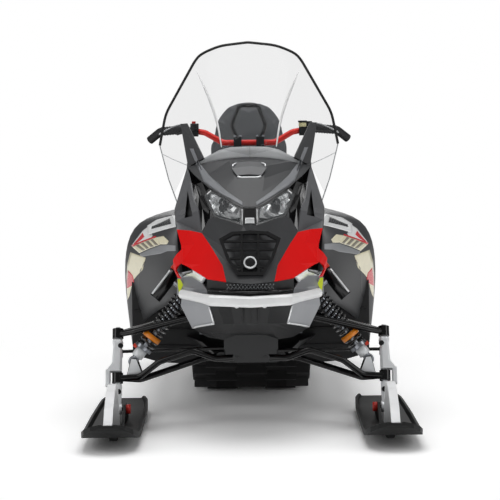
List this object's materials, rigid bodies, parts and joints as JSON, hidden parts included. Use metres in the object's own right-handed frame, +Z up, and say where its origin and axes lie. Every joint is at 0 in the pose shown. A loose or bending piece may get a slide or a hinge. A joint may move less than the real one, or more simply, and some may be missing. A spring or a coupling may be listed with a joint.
{
  "type": "two-up touring snowmobile",
  "caption": "Two-up touring snowmobile with a tall clear windshield, steered skis on A-arms, a wide lugged rubber track, a seat with a backrest and a rear rack.",
  "frame": {"origin": "on the ground, under the middle of the whole machine", "axes": "+Z up; the nose faces -Y; +X is the rider's left"},
  "size_m": [1.216, 3.24, 1.476],
  "materials": {
    "frame_metal": "satin black powder coat",
    "engine": "cast",
    "tunnel_metal": "satin black",
    "boards": "satin black",
    "black_plastic": "grained black",
    "dark_grey_plastic": "satin dark grey",
    "light_grey_plastic": "metallic light grey",
    "red_plastic": "gloss red",
    "side_skin": "painted light grey",
    "lamp_tub": "bright reflector",
    "lamp_glass": "clear polycarbonate",
    "screen": "clear polycarbonate, light smoke",
    "satin_aluminium": "satin",
    "vinyl": "grained black vinyl",
    "rubber": "moulded black",
    "tail_red": "red lens",
    "rail_metal": "extruded",
    "wheel": "moulded wheel",
    "axle_steel": "turned",
    "arm_black": "gloss black",
    "shock_metal": "anodised and plated",
    "spring_black": "gloss black spring steel",
    "bar_red": "red powder coat",
    "spindle_alloy": "cast",
    "ski_plastic": "moulded charcoal",
    "handle_silver": "silver"
  },
  "bodies": {
    "chassis": {"bulkhead": "frame_metal", "front_structure": "frame_metal", "engine_block": "engine", "tunnel": "tunnel_metal", "running_boards": "boards", "belly_pan": "black_plastic", "hood_mask": "dark_grey_plastic", "hood_scoop": "light_grey_plastic", "nose_fascia": "dark_grey_plastic", "grille": "black_plastic", "headlamp_housings": "lamp_tub", "headlamp_lenses": "lamp_glass", "red_panels": "red_plastic", "lower_panels": "light_grey_plastic", "side_fairings": "light_grey_plastic", "side_panel_left": "side_skin", "side_panel_right": "side_skin", "gauge_console": "black_plastic", "windshield": "screen", "side_deflectors": "screen", "front_bumper": "satin_aluminium", "fuel_console": "black_plastic", "seat": "vinyl", "backrest": "vinyl", "rear_rack": "frame_metal", "rear_bumper": "frame_metal", "snow_flap": "rubber", "tail_lamp": "tail_red", "slide_rails": "rail_metal", "idler_wheels": "wheel", "swing_arms": "frame_metal", "track_shocks": "shock_metal", "drive_axle": "axle_steel", "track": "rubber", "upper_arms": "arm_black", "lower_arms": "arm_black", "shocks": "shock_metal", "shock_springs": "spring_black"},
    "steering": {"steering_post": "frame_metal", "handlebar": "bar_red", "grips": "rubber", "hand_controls": "black_plastic"},
    "bell_crank": {"pitman_arm": "arm_black"},
    "tie_rod_left": {"tie_rod_left": "axle_steel"},
    "tie_rod_right": {"tie_rod_right": "axle_steel"},
    "leg_left": {"spindle_left": "spindle_alloy"},
    "leg_right": {"spindle_right": "spindle_alloy"},
    "ski_left": {"ski_left": "ski_plastic", "ski_handle_left": "handle_silver"},
    "ski_right": {"ski_right": "ski_plastic", "ski_handle_right": "handle_silver"}
  },
  "joints": [
    {"name": "steering", "type": "hinge", "parent": "chassis", "child": "steering", "pos_m": [0, -0.35, 1.07], "axis": [0, 0.5, 0.866], "range_deg": [-30, 30]},
    {"name": "bell_crank", "type": "hinge", "parent": "chassis", "child": "bell_crank", "pos_m": [0, -0.98738, 0.29937], "axis": [0, 0.342, 0.9397], "range_deg": [-30, 30]},
    {"name": "kingpin_left", "type": "hinge", "parent": "chassis", "child": "leg_left", "pos_m": [0.505, -1.025, 0.196], "axis": [0, 0.342, 0.9397], "range_deg": [-30, 30]},
    {"name": "tie_rod_left", "type": "hinge", "parent": "bell_crank", "child": "tie_rod_left", "pos_m": [0, -0.89785, 0.28221], "axis": [0, 0.342, 0.9397], "range_deg": [-30, 30]},
    {"name": "ski_pitch_left", "type": "hinge", "parent": "leg_left", "child": "ski_left", "pos_m": [0.505, -1.066, 0.084], "axis": [1, 0, 0], "range_deg": [-15, 15], "stiffness_Nm_per_rad": 60},
    {"name": "kingpin_right", "type": "hinge", "parent": "chassis", "child": "leg_right", "pos_m": [-0.505, -1.025, 0.196], "axis": [0, 0.342, 0.9397], "range_deg": [-30, 30]},
    {"name": "tie_rod_right", "type": "hinge", "parent": "bell_crank", "child": "tie_rod_right", "pos_m": [0, -0.89289, 0.29584], "axis": [0, 0.342, 0.9397], "range_deg": [-30, 30]},
    {"name": "ski_pitch_right", "type": "hinge", "parent": "leg_right", "child": "ski_right", "pos_m": [-0.505, -1.066, 0.084], "axis": [1, 0, 0], "range_deg": [-15, 15], "stiffness_Nm_per_rad": 60}
  ],
  "couplings": [
    {"joint": "bell_crank", "follows": "steering", "ratio": 1},
    {"joint": "kingpin_left", "follows": "steering", "ratio": 1},
    {"joint": "tie_rod_left", "follows": "steering", "ratio": -1},
    {"joint": "kingpin_right", "follows": "steering", "ratio": 1},
    {"joint": "tie_rod_right", "follows": "steering", "ratio": -1}
  ]
}
